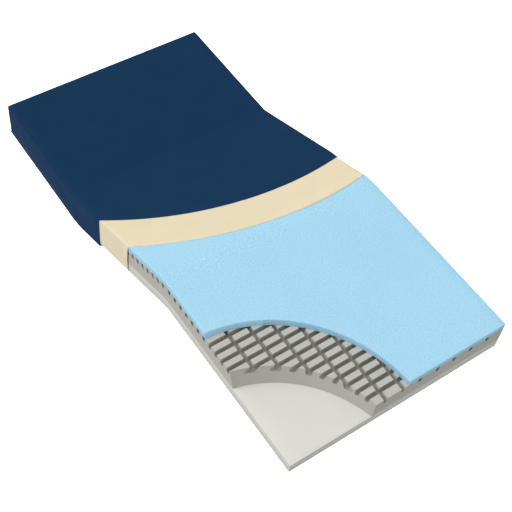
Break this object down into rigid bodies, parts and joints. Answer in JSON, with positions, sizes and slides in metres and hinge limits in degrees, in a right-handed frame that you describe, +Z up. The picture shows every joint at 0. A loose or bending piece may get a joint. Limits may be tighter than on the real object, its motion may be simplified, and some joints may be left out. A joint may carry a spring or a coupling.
{
  "type": "pressure relief mattress",
  "caption": "Layered foam mattress for a profiling bed, cut away to show its cover, fire barrier, gel foam, cross-cut cell foam and base foam.",
  "frame": {"origin": "middle of the bounding box's base, on the surface that the mattress stands on", "axes": "+X towards the foot end, +Y across the width towards the uncut long side, +Z up"},
  "size_m": [2.0122, 0.9144, 0.272],
  "materials": {
    "base_foam": "matte",
    "cell_foam": "matte",
    "gel_foam": "matte",
    "fire_barrier": "matte",
    "cover_top": "matte",
    "cover_base": "matte",
    "zip_tape": "matte",
    "zip_teeth": "satin",
    "zip_metal": "satin"
  },
  "bodies": {
    "seat": {"base_foam_hip": "base_foam", "base_foam_seat": "base_foam", "base_foam_knee": "base_foam", "cell_foam_hip": "cell_foam", "cell_foam_seat": "cell_foam", "cell_foam_knee": "cell_foam", "gel_foam_hip": "gel_foam", "gel_foam_seat": "gel_foam", "gel_foam_knee": "gel_foam", "fire_barrier_hip": "fire_barrier", "fire_barrier_seat": "fire_barrier", "cover_top_hip": "cover_top", "cover_top_seat": "cover_top", "cover_base_hip": "cover_base", "cover_base_seat": "cover_base"},
    "back": {"base_foam_back": "base_foam", "cell_foam_back": "cell_foam", "gel_foam_back": "gel_foam", "fire_barrier_back": "fire_barrier", "cover_top_back": "cover_top", "cover_base_back": "cover_base", "zip_tape_upper": "zip_tape", "zip_tape_lower": "zip_tape", "zip_teeth_upper": "zip_teeth", "zip_teeth_lower": "zip_teeth", "zip_stops": "zip_metal", "flap_binding": "cover_top"},
    "foot": {"base_foam_foot": "base_foam", "cell_foam_foot": "cell_foam", "gel_foam_foot": "gel_foam"},
    "flap": {"zip_flap": "cover_top"},
    "slider": {"zip_slider": "zip_metal"},
    "pull": {"zip_pull": "zip_metal"}
  },
  "joints": [
    {"name": "hip_bend", "type": "hinge", "parent": "seat", "child": "back", "pos_m": [-0.43817, 0, 0.0063], "axis": [0, 1, 0], "range_deg": [-20.2, 45], "deforming": ["base_foam_hip", "cell_foam_hip", "gel_foam_hip", "fire_barrier_hip", "cover_top_hip", "cover_base_hip"]},
    {"name": "knee_bend", "type": "hinge", "parent": "seat", "child": "foot", "pos_m": [0.2545, 0, 0.12641], "axis": [0, 1, 0], "range_deg": [-19.7, 20], "deforming": ["base_foam_knee", "cell_foam_knee", "gel_foam_knee"]},
    {"name": "flap_lift", "type": "hinge", "parent": "back", "child": "flap", "pos_m": [-0.99697, 0, 0.17761], "axis": [0, 1, 0], "range_deg": [0, 150]},
    {"name": "zip_run", "type": "slide", "parent": "back", "child": "slider", "axis": [0, 1, 0], "range_m": [-0.79, 0], "deforming": ["zip_teeth_upper", "zip_teeth_lower"]},
    {"name": "pull_swing", "type": "hinge", "parent": "slider", "child": "pull", "pos_m": [-0.99868, 0.395, 0.15657], "axis": [0, 1, 0], "range_deg": [0, 160]}
  ]
}
